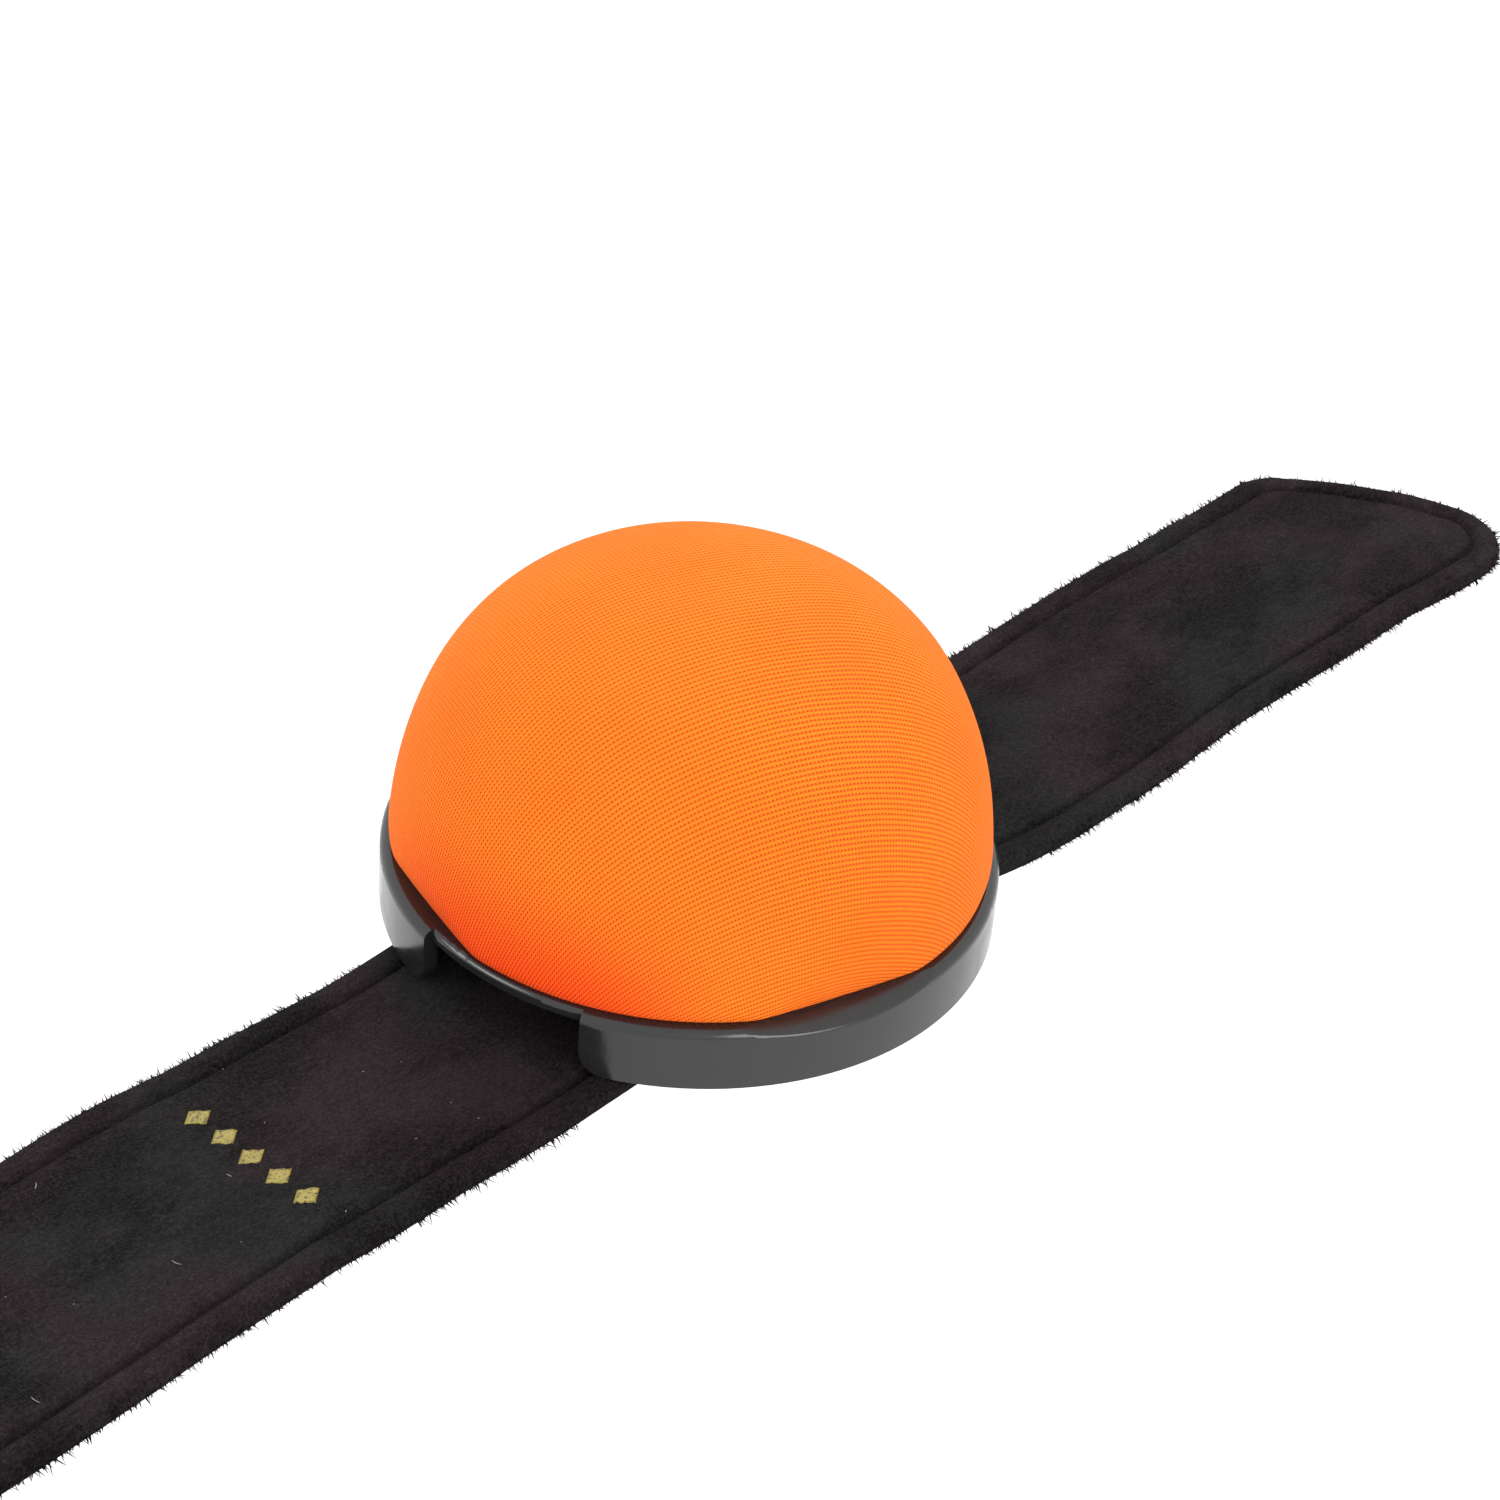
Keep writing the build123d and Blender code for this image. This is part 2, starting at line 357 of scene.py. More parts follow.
def foil_material():
    """Hot-stamped gold foil, worn through where the pile stands up."""
    graph = Graph("gold_foil", Metallic=0.25, Roughness=0.5)
    worn = graph.ramp(graph.noise(2.6, 3.0, 0.7), 0.50, 0.66)
    tarnish = graph.mix(graph.noise(0.8, 2.0), (0.165, 0.135, 0.016), (0.26, 0.21, 0.036))
    graph.colour(graph.mix(worn, tarnish, (0.03, 0.025, 0.008)))
    graph.bump(graph.noise(3.0, 3.0), 0.05)
    return graph.material


def plain_material(name, tone_a, tone_b, per_mm, roughness=0.9, depth=0.1):
    """A mottled stuff between two tones, for what lies inside: card, fibre filling, adhesive."""
    graph = Graph(name, Roughness=roughness)
    grain = graph.noise(per_mm, 4.0, 0.65)
    graph.colour(graph.mix(grain, tone_a, tone_b))
    graph.bump(grain, depth)
    return graph.material


jersey = jersey_material()
black_gloss = plastic_material("black_gloss_plastic", (0.010, 0.010, 0.0105), 0.16)
black_satin = plastic_material("black_satin_plastic", (0.016, 0.016, 0.017), 0.42)
velour = velour_material(
    "velour",
    dark=(0.0026, 0.0021, 0.0023),
    light=(0.028, 0.0205, 0.0225),
    cool=(0.0215, 0.0215, 0.0210),
)
velour_back = velour_material(
    "velour_back",
    dark=(0.004, 0.0035, 0.0037),
    light=(0.012, 0.010, 0.011),
    cool=(0.010, 0.010, 0.010),
    pile=2.4,
)
fibre = velour_material(
    "velour_fibre",
    dark=(0.005, 0.0040, 0.0044),
    light=(0.036, 0.027, 0.0295),
    cool=(0.027, 0.027, 0.027),
    pile=5.0,
)
seam_thread = thread_material("seam_thread", (0.0025, 0.0021, 0.0023))
lint_stuff = thread_material("lint", (0.22, 0.21, 0.20))
hook_stuff = plastic_material("hook_nylon", (0.012, 0.012, 0.013), 0.35)
loop_stuff = velour_material(
    "loop_nylon",
    dark=(0.006, 0.006, 0.006),
    light=(0.024, 0.023, 0.023),
    cool=(0.02, 0.02, 0.02),
    pile=4.0,
)
gold = foil_material()
orange_thread = thread_material("gathering_thread", (0.45, 0.09, 0.01))

# ---------------------------------------------------------------- how the strap lies


def wander(x, knots):
    """A gentle curve through knots of (x, value) in millimetres, at the places x in metres."""
    dense = np.arange(-160.0, 160.5, 0.5)
    places, values = zip(*knots)
    straight = np.interp(dense, places, values)
    half_window = 22
    window = np.hanning(2 * half_window + 1)
    soft = np.convolve(np.pad(straight, half_window, mode="edge"), window / window.sum(), "valid")
    return np.interp(np.asarray(x) / MM, dense, soft) * MM


# Along the strap, in millimetres: it dips at the ring, bows up beyond it, and drifts sideways
LIFT = [
    (-124, 0.8), (-112, 0.8), (-71, 1.9), (-38, -0.35), (-24, -0.2),
    (24, -0.2), (38, -0.35), (64, -0.1), (97, 0.9), (134, 1.0),
]
DRIFT = [
    (-124, -2.4), (-90, -2.8), (-75, -2.6), (-62, -2.0), (-36, -1.2),
    (-14, -0.4), (15, -0.1), (21, -0.6), (28, -3.2), (40, -4.6),
    (55, -4.3), (66, -3.7), (85, -3.8), (105, -4.1), (134, -4.9),
]


def ripple(x, y, size, seed):
    """Smooth noise at each point, size in metres between features."""
    flat = zip(np.ravel(x), np.ravel(y))
    values = [noise.noise(Vector((a / size, b / size, seed))) for a, b in flat]
    return np.reshape(values, np.shape(x))


def ease(x, start, reach):
    """From 0 at start to 1 at start + reach."""
    return np.clip((x - start) / reach, 0, 1)


def lay(points):
    """Moves points from the flat strap to where the strap lies."""
    points = np.array(points, float)
    x, y = points[:, 0], points[:, 1]
    free = ease(np.abs(x), 30 * MM, 22 * MM)  # 0 under the base, 1 where the strap may ripple
    narrowed = ease(np.abs(x), 14 * MM, 22 * MM) * np.clip((116 * MM - x) / (10 * MM), 0, 1)
    wave = 0.40 * MM * free * ripple(x, y, 21 * MM, 3.7) + 0.16 * MM * free * ripple(x, y, 7 * MM, 8.1)
    lowest = 0.02 * MM
    points[:, 2] = np.maximum(points[:, 2] + wander(x, LIFT) + wave, lowest)
    side = 0.45 * MM * free * ripple(x, y * 0.2, 17 * MM, 5.3)
    points[:, 1] = y * (0.975 - 0.023 * narrowed) + wander(x, DRIFT) + side
    return points


# ---------------------------------------------------------------- the strap's plan


def circle_through(a, b, c):
    """Centre and radius of the circle through three points."""
    a, b, c = np.array(a), np.array(b), np.array(c)
    centre = np.linalg.solve(2 * np.array([b - a, c - a]), [b @ b - a @ a, c @ c - a @ a])
    return centre, math.hypot(*(centre - a))


tip_shoulder = (118.0 * MM, half_width)
tip_turn = (right_end - 1.6 * MM, -7.2 * MM)
tip_chin = (123.5 * MM, -half_width)
long_arc = circle_through(tip_shoulder, (127.4 * MM, 5.2 * MM), tip_turn)
short_arc = circle_through(tip_turn, (129.5 * MM, -13.7 * MM), tip_chin)
left_corner = 8 * MM
seam_inset = 3.5 * MM


def right_edge(y):
    """Where the oblique tip ends, at each place y across the strap."""
    spans = [np.sqrt(np.maximum(r**2 - (y - c[1]) ** 2, 0)) + c[0] for c, r in (long_arc, short_arc)]
    corner = 2 * MM
    eased = 2.2 * MM * np.clip((y - half_width + corner) / corner, 0, 1) ** 2
    return np.where(y > tip_turn[1], spans[0], spans[1]) - eased


def left_edge(y):
    """Where the left end, with its rounded corners, ends at each place y across the strap."""
    over = np.clip(np.abs(y) - (half_width - left_corner), 0, left_corner)
    return left_end + left_corner - np.sqrt(left_corner**2 - over**2)


def strap_outline():
    """Points round the strap's plan, about 0.5 mm apart, counter-clockwise from the left end."""
    across = half_width * np.sin(np.linspace(-math.pi / 2, math.pi / 2, 90))
    right = np.stack([right_edge(across), across], 1)
    left = np.stack([left_edge(across), across], 1)[::-1]
    low = np.linspace(left[-1], right[0], 500)[1:-1]
    high = np.linspace(right[-1], left[0], 500)[1:-1]
    return np.vstack([low, right, high, left])


outline = strap_outline()


def edge_distance(x, y):
    """Distance of each point inside the strap to its outline."""
    points = np.stack([np.ravel(x), np.ravel(y)], 1)
    nearest = np.full(len(points), np.inf)
    spans = np.roll(outline, -1, axis=0) - outline
    squares = np.maximum((spans**2).sum(1), 1e-18)
    block_size = 2000
    for start in range(0, len(points), block_size):
        block = points[start : start + block_size, None]
        share = np.clip(((block - outline) * spans).sum(2) / squares, 0, 1)
        gaps = np.linalg.norm(block - outline - share[..., None] * spans, axis=2)
        nearest[start : start + block_size] = gaps.min(1)
    return nearest.reshape(np.shape(x))


def ridge(distance, place, width):
    """A smooth ridge of height 1 that runs at a constant distance in from the strap's edge."""
    return np.exp(-(((distance - place) / width) ** 2))


def strap_surface(x, y, side):
    """Height of the strap's upper (side 1) or lower (side -1) face over the flat strap's middle."""
    d = edge_distance(x, y)
    edge_round = 1.05 * MM
    rounded = np.sqrt(np.clip(1 - (1 - np.clip(d / edge_round, 0, 1)) ** 2, 0, 1))
    welt = 0.24 * MM * ridge(d, 1.9 * MM, 0.9 * MM)
    seam = 0.88 * MM * ridge(d, seam_inset, 0.36 * MM)
    field = 0.16 * MM * (1 - np.exp(-np.clip(d - seam_inset, 0, None) / (2.2 * MM)))
    pucker = 0.10 * MM * ripple(x, y, 2.6 * MM, 2.2) * ridge(d, seam_inset, 1.4 * MM)
    pile = 0.05 * MM * ripple(x, y, 1.1 * MM, 6.0)
    strength = 1.0 if side > 0 else 0.45
    return side * (half_thickness * rounded + strength * (welt - seam + field + pucker + pile) * rounded)


# ---------------------------------------------------------------- cushion


def dome_profile(tuck):
    """Radius and height of the dome from its crown down to the height tuck, as a superellipse."""
    radius = 31.72 * MM
    widest = 6.5 * MM  # height of the dome's widest plane, if it went on below the lip
    rise = dome_top - widest
    power = 2.455
    low = math.asin(((tuck - widest) / rise) ** (power / 2))
    angles = low + (math.pi / 2 - low) * (1 - np.linspace(0, 1, 112) ** 1.25)
    crown_r = radius * np.cos(angles) ** (2 / power)
    crown_z = widest + rise * np.sin(angles) ** (2 / power)
    crown_r[0] = 0.0
    return crown_r, crown_z


def lip_mouth(around):
    """Radius of the lip's mouth at each angle: a circle with four straight stretches."""
    opening = 30.5 * MM
    flat = 29.15 * MM
    flat_turn = math.radians(-17)
    turned = (around - flat_turn + math.pi / 4) % (math.pi / 2) - math.pi / 4
    mouth = np.minimum(opening, flat / np.cos(turned))
    return (np.roll(mouth, 1) + 2 * mouth + np.roll(mouth, -1)) / 4


def dome_softness(around, z):
    """Slight unevenness of the filling under the jersey, round the dome at the height z."""
    turns, height = 2.2, z / (9 * MM)
    spots = [Vector((math.cos(a) * turns, math.sin(a) * turns, height)) for a in around]
    return np.array([0.12 * MM * noise.noise(spot) for spot in spots])


def cushion_dome():
    """The stuffed jersey dome, drawn in where the lip's straight stretches press it."""
    columns = 300
    row_axis = math.radians(-112)
    tuck = rim_top - 0.25 * MM
    crown_r, crown_z = dome_profile(tuck)
    around = np.linspace(0, 2 * math.pi, columns, endpoint=False)
    mouth = lip_mouth(around)
    vertices = [(0, 0, crown_z[0])]
    knit = [(0.0, 0.0)]

    def add_ring(r, z, arc):
        """One ring of points, and how far along and across the knit they are from the crown."""
        vertices.extend((r[k] * math.cos(a), r[k] * math.sin(a), z) for k, a in enumerate(around))
        run = arc / MM
        knit.extend((run * math.sin(a - row_axis), run * math.cos(a - row_axis)) for a in around)

    arc = 0.0
    for i in range(1, len(crown_r)):
        arc += math.hypot(crown_r[i] - crown_r[i - 1], crown_z[i] - crown_z[i - 1])
        gap = crown_r[i] - mouth
        height = 0.8 * MM + 1.3 * gap**2 / MM
        share = np.clip((crown_z[i] - tuck) / height, 0, 1)
        r = mouth + gap * np.sqrt(1 - (1 - share) ** 2)
        r = np.where(gap < 0, crown_r[i], r)
        near_crown = min(1.0, crown_r[i] / (12 * MM))
        r = r + dome_softness(around, crown_z[i]) * near_crown * share
        add_ring(r, crown_z[i], arc)
    # Under the lip the jersey turns in below the board and ends in its hem
    hem = [(-0.05, 0.45), (-0.5, 0.12), (-1.6, 0.03), (-6.0, 0.03), (-11.0, 0.03)]
    for inward, over_floor in hem:
        arc += 1.5 * MM
        add_ring(mouth + inward * MM, floor_top + over_floor * MM, arc)

    faces = [(0, 1 + k, 1 + (k + 1) % columns) for k in range(columns)]
    rings = (len(vertices) - 1) // columns
    for i in range(rings - 1):
        for k in range(columns):
            a = 1 + i * columns + k
            b = 1 + i * columns + (k + 1) % columns
            faces.append((a, a + columns, b + columns, b))
    dome = mesh_object("cushion_dome", vertices, faces, [jersey])
    layer = dome.data.uv_layers.new(name="knit")
    loops = np.empty(len(dome.data.loops), dtype=np.int32)
    dome.data.loops.foreach_get("vertex_index", loops)
    layer.data.foreach_set("uv", np.array(knit, dtype=np.float32)[loops].ravel())
    thickness = dome.modifiers.new("jersey_thickness", "SOLIDIFY")
    thickness.thickness = 0.6 * MM
    thickness.offset = -1
    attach(dome, "base")
    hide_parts("cushion_cover")


# ---------------------------------------------------------------- strap


def stretch_edges():
    """Each visual piece spans one fold: (side, its sign in X, fold number, inner end, outer end).

    An end is a distance from the strap's middle. The outermost pieces have None as their outer end.
    """
    ends = [0.0] + [(a + b) / 2 for a, b in zip(fold_places[:-1], fold_places[1:])] + [None]
    pieces = []
    for side, sign in (("right", 1), ("left", -1)):
        for i in range(len(fold_places)):
            pieces.append((side, sign, i, ends[i], ends[i + 1]))
    return pieces


def across_places():
    """Places across the strap, close together at the edges and the seam."""
    rounding = np.linspace(0, 1.0, 7) ** 1.6 * 1.2
    seam = np.arange(1.6, 5.2, 0.36)
    near = np.concatenate([rounding, seam, [5.7, 6.6, 7.8]]) * MM
    centre = np.linspace(-half_width + 9.0 * MM, half_width - 9.0 * MM, 14)
    return np.concatenate([-half_width + near, centre, (half_width - near)[::-1]])


strap_stuffs = [velour, velour_back, seam_thread, fibre, lint_stuff]
FACE, BACK, STITCH, PILE, LINT = range(len(strap_stuffs))


def strap_grid(sign, inner, outer):
    """Plan points of one piece: rows along the strap, columns across it, closer at the strap's end."""
    across = across_places()
    if outer is not None:
        rows = np.linspace(inner, outer, int((outer - inner) / (0.55 * MM)) + 1) * sign
        return np.meshgrid(rows, across, indexing="ij")
    end = right_edge(across) if sign > 0 else left_edge(across)
    fine_part = 6 * MM / (abs(end).max() - inner)
    coarse = np.linspace(0, 1 - fine_part, 60)
    fine = 1 - fine_part * (1 - np.sin(np.linspace(0, math.pi / 2, 30)))
    share = np.concatenate([coarse[:-1], fine])
    x = inner * sign + share[:, None] * (end - inner * sign)[None]
    return x, np.broadcast_to(across, x.shape)


def strap_shell(x, y, sign, closed_end):
    """Vertices, faces and face materials of a piece's two sides, joined along the strap's edge."""
    rows, columns = x.shape
    top = np.stack([x, y, strap_middle_z + strap_surface(x, y, 1)], -1).reshape(-1, 3)
    bottom = np.stack([x, y, strap_middle_z + strap_surface(x, y, -1)], -1).reshape(-1, 3)
    index = np.arange(rows * columns).reshape(rows, columns)
    under = index + rows * columns
    under[:, 0] = index[:, 0]
    under[:, -1] = index[:, -1]
    if closed_end:
        under[-1] = index[-1]
    faces = []
    kinds = []
    for i in range(rows - 1):
        for j in range(columns - 1):
            face = (index[i, j], index[i + 1, j], index[i + 1, j + 1], index[i, j + 1])
            back = (under[i, j], under[i, j + 1], under[i + 1, j + 1], under[i + 1, j])
            faces += [face, back] if sign > 0 else [face[::-1], back[::-1]]
            kinds += [FACE, BACK]
    used = np.zeros(2 * rows * columns, bool)
    used[np.unique(np.array([i for face in faces for i in face]))] = True
    renumber = np.cumsum(used) - 1
    vertices = lay(np.vstack([top, bottom])[used])
    faces = [tuple(renumber[list(face)]) for face in faces]
    return vertices, faces, kinds


def in_span(x, sign, inner, outer):
    """Which of the places x along the strap belong to a piece."""
    reach = np.asarray(x) * sign
    return (reach >= inner) & (reach < (np.inf if outer is None else outer))


def seam_path():
    """The closed line of the topstitching, a constant distance in from the edge, and the run along it."""
    ahead = np.roll(outline, -1, axis=0) - np.roll(outline, 1, axis=0)
    inward = unit(np.stack([-ahead[:, 1], ahead[:, 0]], 1))
    line = outline + inward * seam_inset
    line = line[edge_distance(line[:, 0], line[:, 1]) > seam_inset * 0.985]
    closed = np.vstack([line, line[:1]])
    steps = np.linalg.norm(np.diff(closed, axis=0), axis=1)
    return closed, np.concatenate([[0], np.cumsum(steps)])


def stitches():
    """Middle lines of the topstitches, each on the strap's upper face."""
    path, run = seam_path()
    pitch = 2.5 * MM
    bow = np.array([-0.10, 0.02, 0.05, 0.02, -0.10]) * MM
    found = []
    for i in range(int(run[-1] / pitch)):
        places = (i + np.linspace(0.12, 0.88, 5)) * pitch
        x = np.interp(places, run, path[:, 0])
        y = np.interp(places, run, path[:, 1])
        z = strap_middle_z + strap_surface(x, y, 1) + bow
        found.append(np.stack([x, y, z], 1))
    return found


def edge_fuzz(count):
    """Roots and tips of fibres that stand out of the turned edge, all round."""
    pick = random.integers(0, len(outline), count)
    ahead = np.roll(outline, -1, axis=0)[pick]
    share = random.random(count)[:, None]
    spot = outline[pick] * (1 - share) + ahead * share
    direction = unit(ahead - outline[pick])
    outward = np.stack([direction[:, 1], -direction[:, 0]], 1)
    lean = random.normal(0, 0.55, count)[:, None]
    rise = random.uniform(-0.95, 0.95, count)  # from the lower to the upper face
    inset = (1 - np.sqrt(1 - rise**2)) * MM + 0.08 * MM
    root_xy = spot - outward * inset[:, None]
    length = (0.30 + 0.95 * random.random(count) ** 2.2) * MM
    clump = 0.65 + 0.7 * np.clip(ripple(spot[:, 0], spot[:, 1], 1.6 * MM, 1.5) + 0.4, 0, 1)
    length *= clump
    root = np.column_stack([root_xy, strap_middle_z + rise * half_thickness * 0.95])
    heading = unit(np.column_stack([outward + direction * lean, 0.9 * rise + random.normal(0, 0.25, count)]))
    return root, root + heading * length[:, None]


def face_nap(count):
    """Roots and tips of short pile fibres over the upper face, leaning with the nap."""
    margin = 0.6 * MM
    x = random.uniform(left_end + 1 * MM, right_end - 1 * MM, count)
    y = random.uniform(-half_width + margin, half_width - margin, count)
    inside = (x < right_edge(y) - margin) & (x > left_edge(y) + margin)
    x, y = x[inside], y[inside]
    z = strap_middle_z + strap_surface(x, y, 1) - 0.03 * MM
    swirl = 2.6 * ripple(x, y, 26 * MM, 9.4) + random.normal(0, 0.5, len(x))
    heading = unit(np.column_stack([np.cos(swirl), np.sin(swirl), random.uniform(0.25, 0.9, len(x))]))
    root = np.column_stack([x, y, z])
    return root, root + heading * random.uniform(0.22, 0.5, len(x))[:, None] * MM


def lint(count):
    """Middle lines of pale specks, and of a hair for every two of them, caught in the pile."""
    share = np.linspace(-0.5, 0.5, 5)
    bow = 0.3 * share**2
    found = []
    for i in range(count):
        x = random.uniform(left_end + 8 * MM, right_end - 14 * MM)
        y = random.uniform(-0.75, 0.75) * half_width
        length = (random.uniform(0.12, 0.3) if i % 3 else random.uniform(0.6, 1.3)) * MM
        heading = random.uniform(0, 2 * math.pi)
        along_x = x + length * (share * math.cos(heading) - bow * math.sin(heading))
        along_y = y + length * (share * math.sin(heading) + bow * math.cos(heading))
        z = strap_middle_z + strap_surface(along_x, along_y, 1) + 0.09 * MM
        found.append(np.stack([along_x, along_y, z], 1))
    return found


def blend_over(piece):
    """Bakes a piece's placement into its mesh."""
    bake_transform(piece)


def pile_fibres():
    """Roots and tips of all fibres on the lying strap, their radii, and their places x on the flat one."""
    fuzz_root, fuzz_tip = edge_fuzz(10500)
    nap_root, nap_tip = face_nap(15000)
    tufts = random.uniform(0.04, 0.12, len(fuzz_root)) * MM
    radii = np.concatenate([tufts, np.full(len(nap_root), 0.036 * MM)])
    flat_roots = np.vstack([fuzz_root, nap_root])
    roots = lay(flat_roots)
    tips = np.vstack([fuzz_tip, nap_tip]) + roots - flat_roots
    tips[:, 2] = np.maximum(tips[:, 2], 0.05 * MM)
    return roots, tips, radii, flat_roots[:, 0]


def strap():
    """The velour strap, in pieces that each span one fold, with stitches, pile and lint."""
    under_base = 33 * MM
    stitch_radii = np.array([0.06, 0.11, 0.12, 0.11, 0.06]) * MM
    hair_radii = np.array([0.02, 0.035, 0.035, 0.03, 0.015]) * MM
    stitch_lines = stitches()
    stitch_x = np.array([line[2, 0] for line in stitch_lines])
    roots, tips, radii, fibre_x = pile_fibres()
    # Lint shows on the left half, and elsewhere only near the far edge
    hairs = [line for line in lint(40) if line[2, 0] < -34 * MM or line[2, 1] > 11 * MM]
    hair_x = np.array([line[2, 0] for line in hairs])
    for side, sign, fold, inner, outer in stretch_edges():
        x, y = strap_grid(sign, inner, outer)
        vertices, faces, kinds = strap_shell(x, y, sign, outer is None)
        parts = Parts()
        parts.add(vertices, faces)
        parts.kinds = kinds
        for number in np.flatnonzero(in_span(stitch_x, sign, inner, outer)):
            parts.tube(lay(stitch_lines[number]), stitch_radii, 6, STITCH)
        chosen = np.flatnonzero(in_span(fibre_x, sign, inner, outer) & (np.abs(fibre_x) >= under_base))
        parts.fibres(roots[chosen], tips[chosen], radii[chosen], PILE)
        for number in np.flatnonzero(in_span(hair_x, sign, inner, outer)):
            parts.tube(lay(hairs[number]), hair_radii, 4, LINT)
        piece = parts.piece(f"strap_velour_{side}_{fold + 1}", strap_stuffs)
        share_normals(piece, len(vertices))
        blend_over(piece)
        nodes = [f"strap_{layer}_{side}_{fold + 1}" for layer in ("back", "lining", "face")]
        if side == "right" and fold == 0:
            nodes += [f"strap_{layer}_middle" for layer in ("back", "lining", "face")]
        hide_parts(*nodes)


def share_normals(piece, shell_count):
    """Gives a cut end the normals of the uncut strap, so that neighbouring pieces shade as one."""
    mesh = piece.data
    normals = np.empty(len(mesh.vertices) * 3, dtype=np.float32)
    mesh.vertex_normals.foreach_get("vector", normals)
    normals = normals.reshape(-1, 3)
    places = np.empty(len(mesh.vertices) * 3, dtype=np.float32)
    mesh.vertices.foreach_get("co", places)
    along = places[::3][:shell_count]
    fewest = 40  # a cut has more points than this at one x, and the strap's own ends have fewer
    for limit in (along.min(), along.max()):
        cut = np.flatnonzero(np.abs(along - limit) < 1e-7)
        if len(cut) >= fewest:
            normals[cut] = unit(normals[cut] * (0, 1, 1))
    mesh.normals_split_custom_set_from_vertices(normals.tolist())


# ---------------------------------------------------------------- touch fastener


def patch_base(parts, low, high, z_low, z_high):
    """A tape with softly rounded edges between two corners (x, y)."""
    count = 26
    xs = np.linspace(low[0], high[0], count)
    ys = np.linspace(low[1], high[1], count)
    x, y = np.meshgrid(xs, ys, indexing="ij")
    inset = np.minimum.reduce([x - low[0], high[0] - x, y - low[1], high[1] - y])
    drop = 0.18 * MM * (1 - np.clip(inset / (0.6 * MM), 0, 1)) ** 2
    top = np.stack([x, y, z_high - drop], -1).reshape(-1, 3)
    bottom = np.stack([x, y, z_low + 0 * x], -1).reshape(-1, 3)
    parts.add(lay(np.vstack([top, bottom])), slab_faces(count))


def frame_stitches(parts, low, high, z, kind):
    """A line of stitches round a tape, a little in from its edge."""
    inset = 1.3 * MM
    radii = np.array([0.08, 0.16, 0.16, 0.08]) * MM
    corners = [(low[0] + inset, low[1] + inset), (high[0] - inset, low[1] + inset)]
    corners += [(high[0] - inset, high[1] - inset), (low[0] + inset, high[1] - inset)]
    for a, b in zip(corners, corners[1:] + corners[:1]):
        length = math.dist(a, b)
        count = max(1, round(length / (2.2 * MM)))
        for i in range(count):
            share = (i + np.linspace(0.1, 0.9, 4)) / count
            x = a[0] + (b[0] - a[0]) * share
            y = a[1] + (b[1] - a[1]) * share
            line = np.stack([x, y, z + 0 * x], 1)
            parts.tube(lay(line), radii, 6, kind)


def hook_tape():
    """The sewn-on hook tape: rows of small hooks that bend over to one side and the other in turn."""
    low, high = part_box("hook_patch")
    parts = Parts()
    base_top = low.z + 0.45 * MM
    patch_base(parts, low, high, low.z - 0.35 * MM, base_top)
    frame_stitches(parts, low, high, base_top + 0.02 * MM, 2)
    margin = 2.3 * MM
    bend = np.linspace(0, 1, 6)
    lean = np.interp(bend, [0, 0.5, 0.8, 1], [0, 0.0, 0.30, 0.42]) * MM
    rise = np.interp(bend, [0, 0.5, 0.8, 1], [-0.05, 0.40, 0.54, 0.30]) * MM
    radii = np.array([0.16, 0.13, 0.12, 0.11, 0.1, 0.08]) * MM
    for i, x in enumerate(np.arange(low.x + margin, high.x - margin + 0.1 * MM, 0.95 * MM)):
        way = 1 if i % 2 else -1
        for y in np.arange(low.y + margin, high.y - margin + 0.1 * MM, 1.0 * MM):
            line = np.stack([x + way * lean, y + 0 * lean, base_top + rise], 1)
            parts.tube(lay(line), radii, 5, 1)
    piece = parts.piece("hook_tape", [velour_back, hook_stuff, seam_thread])
    blend_over(piece)
    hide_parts("hook_patch")


def loop_tapes():
    """The loop strip under the right end, in three pieces that each span one fold."""
    names = {2: "inner", 3: "middle", 4: "outer"}
    half_turn = np.linspace(0, math.pi, 6)
    for fold, name in names.items():
        low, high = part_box(f"loop_patch_{name}")
        start = low.x if fold == 2 else (fold_places[fold - 1] + fold_places[fold]) / 2
        end = (fold_places[fold] + fold_places[fold + 1]) / 2 if fold < 4 else high.x
        low = Vector((start, low.y, low.z + 0.35 * MM))
        high = Vector((end, high.y, high.z + 0.45 * MM))
        parts = Parts()
        patch_base(parts, low, high, low.z, high.z)
        count = int((high.x - low.x) * (high.y - low.y) / (1.1 * MM**2))
        for _ in range(count):
            x = random.uniform(low.x + 0.5 * MM, high.x - 0.5 * MM)
            y = random.uniform(low.y + 0.5 * MM, high.y - 0.5 * MM)
            heading = random.uniform(0, math.pi)
            width = random.uniform(0.25, 0.5) * MM
            drop = random.uniform(0.12, 0.3) * MM
            along = width * np.cos(half_turn)
            z = low.z + 0.05 * MM - drop * np.sin(half_turn)
            line = np.stack([x + along * math.cos(heading), y + along * math.sin(heading), z], 1)
            parts.tube(lay(line), np.full(len(line), 0.045 * MM), 4, 1)
        piece = parts.piece(f"loop_tape_{name}", [velour_back, loop_stuff])
        blend_over(piece)
        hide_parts(f"loop_patch_{name}")


# ---------------------------------------------------------------- gold ornament


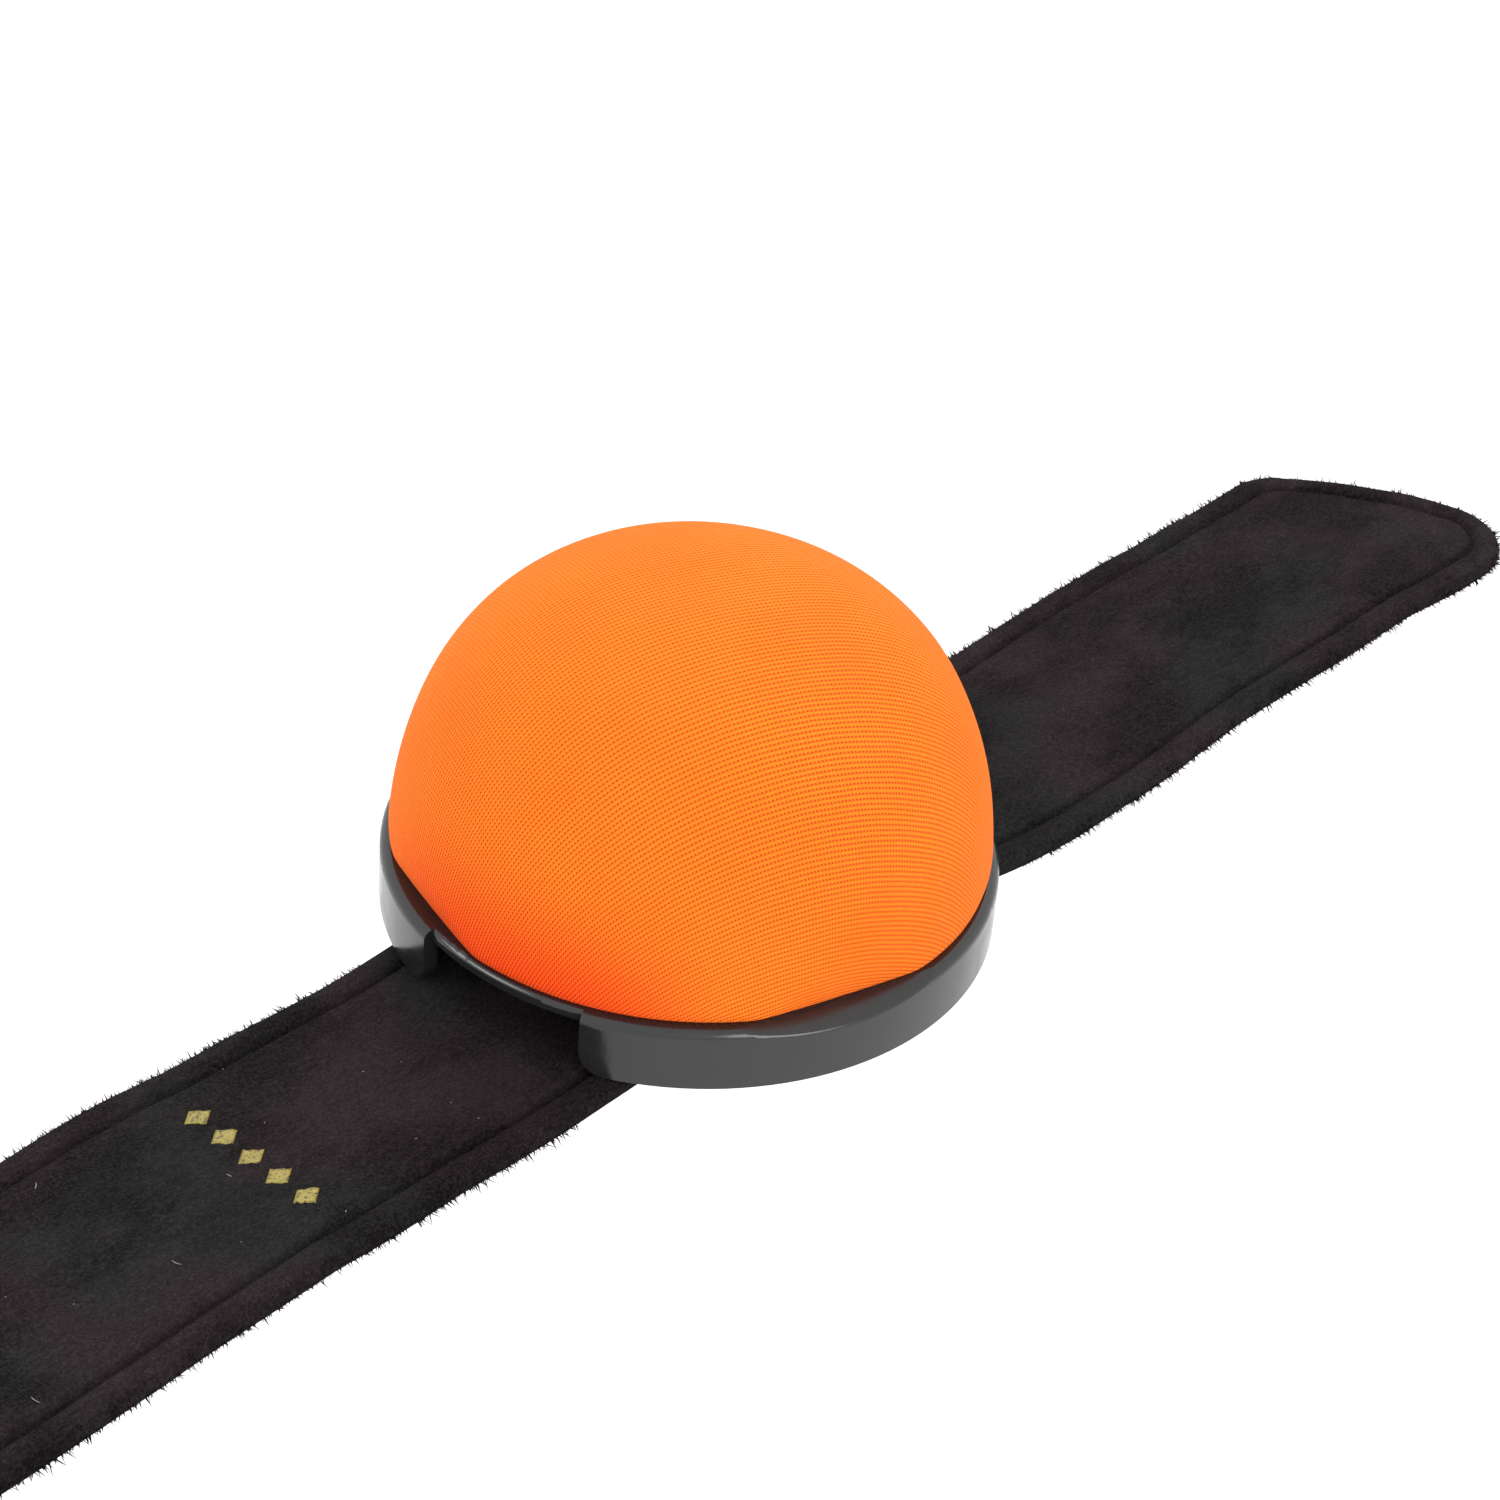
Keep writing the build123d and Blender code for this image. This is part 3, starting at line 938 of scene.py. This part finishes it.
def foil_lozenges():
    """Five thin foil lozenges in a row across the strap, with ragged edges."""
    low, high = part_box("foil_motif")
    count = 5
    centre_x = (low.x + high.x) / 2
    half_x = (high.x - low.x) / 2
    half_y = 1.35 * MM
    first = low.y + half_y
    pitch = (high.y - low.y - 2 * half_y) / (count - 1)
    steps = 9
    u, v = np.meshgrid(np.linspace(-1, 1, steps), np.linspace(-1, 1, steps), indexing="ij")
    edge = np.maximum(np.abs(u), np.abs(v)) > 0.99
    parts = Parts()
    for i in range(count):
        x = centre_x + half_x * (u + v) / 2
        y = first + i * pitch + half_y * (u - v) / 2
        ragged = 0.14 * MM * ripple(x, y, 0.45 * MM, 4.4)
        x = x + np.where(edge, ragged, 0)
        y = y + np.where(edge, ragged, 0)
        surface = strap_middle_z + strap_surface(x, y, 1)
        top = np.stack([x, y, surface + 0.05 * MM], -1).reshape(-1, 3)
        bottom = np.stack([x, y, surface - 0.04 * MM], -1).reshape(-1, 3)
        parts.add(lay(np.vstack([top, bottom])), slab_faces(steps, flipped=True))
    piece = parts.piece("foil_lozenges", [gold])
    blend_over(piece)
    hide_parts("foil_motif")


# ---------------------------------------------------------------- carried-over CAD pieces


def dress(node, material):
    """Gives a CAD piece a material and leaves its shape alone."""
    piece = frame["nodes"][node]
    piece.data.materials.clear()
    piece.data.materials.append(material)


filling = plain_material("fibre_filling", (0.62, 0.60, 0.54), (0.86, 0.84, 0.79), 0.9, depth=0.4)
card = plain_material("card", (0.26, 0.20, 0.13), (0.42, 0.34, 0.24), 0.6)
adhesive = plain_material("adhesive", (0.62, 0.56, 0.38), (0.78, 0.74, 0.58), 0.2, 0.35, 0.15)

dress("base_shell", black_gloss)
dress("strap_keeper", black_satin)
dress("cushion_filling", filling)
dress("cushion_board", card)
dress("glue_disc", adhesive)
dress("gathering_thread", orange_thread)

cushion_dome()
strap()
hook_tape()
loop_tapes()
foil_lozenges()

# ---------------------------------------------------------------- light and camera


def floor():
    """A plain pale floor, far enough down that the strap folds over a wrist clear of it."""
    reach = 2.0
    depth = -90 * MM
    corners = [(-reach, -reach, depth), (reach, -reach, depth), (reach, reach, depth), (-reach, reach, depth)]
    graph = Graph("pale_floor", Roughness=0.9)
    graph.colour(graph.mix(graph.noise(0.02, 2.0), (0.69, 0.69, 0.69), (0.71, 0.71, 0.71)))
    mesh_object("floor", corners, [(0, 1, 2, 3)], [graph.material], smooth=False)


def softbox(name, place, aim, size, watts):
    data = bpy.data.lights.new(name, "AREA")
    data.shape = "DISK"
    data.size = size
    data.energy = watts
    light = bpy.data.objects.new(name, data)
    light.location = place
    light.rotation_euler = (Vector(aim) - Vector(place)).to_track_quat("-Z", "Y").to_euler()
    bpy.context.scene.collection.objects.link(light)


def world_light(strength):
    world = bpy.data.worlds.new("white_studio")
    world.use_nodes = True
    background = world.node_tree.nodes["Background"]
    background.inputs["Color"].default_value = (1, 1, 1, 1)
    background.inputs["Strength"].default_value = strength
    bpy.context.scene.world = world


def camera():
    """A camera at place that looks at aim, rolled a little about its own axis."""
    place = Vector((-0.22524, -0.19731, 0.22787))
    aim = Vector((0.02845, 0.01694, 0.0))
    roll = math.radians(4.59)
    data = bpy.data.cameras.new("camera")
    data.sensor_width = 36
    data.lens = 84.64
    data.clip_start = 0.01
    view = (aim - place).normalized()
    level = view.cross(Vector((0, 0, 1))).normalized()
    upright = level.cross(view)
    right = level * math.cos(roll) + upright * math.sin(roll)
    up = right.cross(view)
    axes = Matrix((right, up, -view)).transposed()
    eye = bpy.data.objects.new("camera", data)
    eye.matrix_world = Matrix.Translation(place) @ axes.to_4x4()
    bpy.context.scene.collection.objects.link(eye)
    bpy.context.scene.camera = eye


floor()
world_light(1.2)
cushion_centre = (0, 0, 0.02)
softbox("key", (0.35, 0.25, 0.6), cushion_centre, size=0.4, watts=3.0)
softbox("front_fill", (-0.15, -0.65, 0.3), cushion_centre, size=0.5, watts=3.0)
softbox("left_fill", (-0.6, 0.35, 0.35), cushion_centre, size=0.4, watts=2.0)
camera()
bpy.context.scene.view_settings.view_transform = "Standard"
